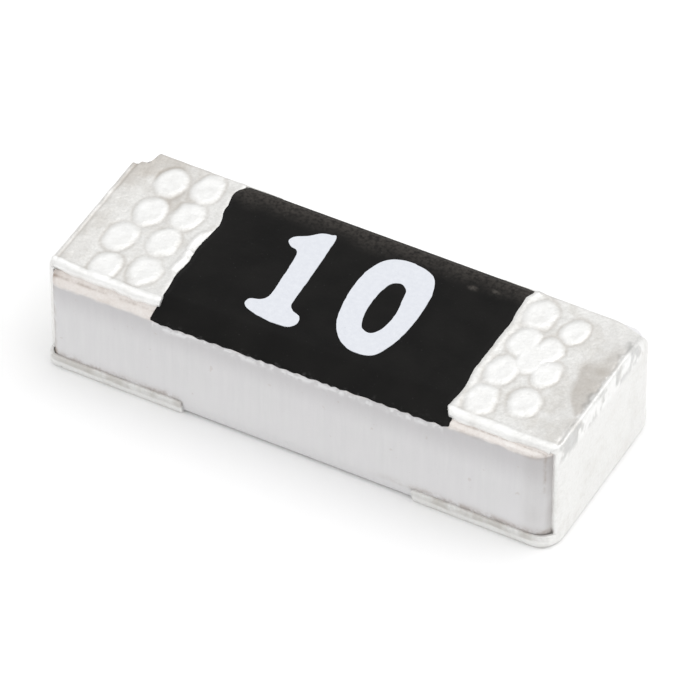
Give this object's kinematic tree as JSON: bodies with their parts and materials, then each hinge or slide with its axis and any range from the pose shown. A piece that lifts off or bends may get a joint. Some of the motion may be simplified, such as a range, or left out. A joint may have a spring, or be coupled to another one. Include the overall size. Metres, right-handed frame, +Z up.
{
  "type": "chip resistor",
  "caption": "Surface-mount thick-film chip resistor: a bevelled ceramic block with a black coated middle and a plated termination over each end.",
  "frame": {"origin": "centre of the underside of the part's box, in the plane of the solder faces", "axes": "+X along the chip towards the end with the worn corners, -Y the long side that the picture shows, +Z up through the printed top"},
  "size_m": [0.0032, 0.0012, 0.0007],
  "materials": {
    "ceramic": "matte",
    "black_coat": "satin",
    "tin": "satin",
    "resistive_film": "matte",
    "glass_film": "gloss",
    "silver_film": "matte",
    "nickel": "satin"
  },
  "bodies": {
    "root": {"ceramic_substrate": "ceramic", "protective_overcoat": "black_coat", "tin_termination_left": "tin", "tin_termination_right": "tin", "resistive_element": "resistive_film", "primary_glass_coat": "glass_film", "top_inner_electrode_left": "silver_film", "top_inner_electrode_right": "silver_film", "bottom_inner_electrode_left": "silver_film", "bottom_inner_electrode_right": "silver_film", "end_inner_electrode_left": "silver_film", "end_inner_electrode_right": "silver_film", "nickel_barrier_left": "nickel", "nickel_barrier_right": "nickel"}
  },
  "joints": []
}
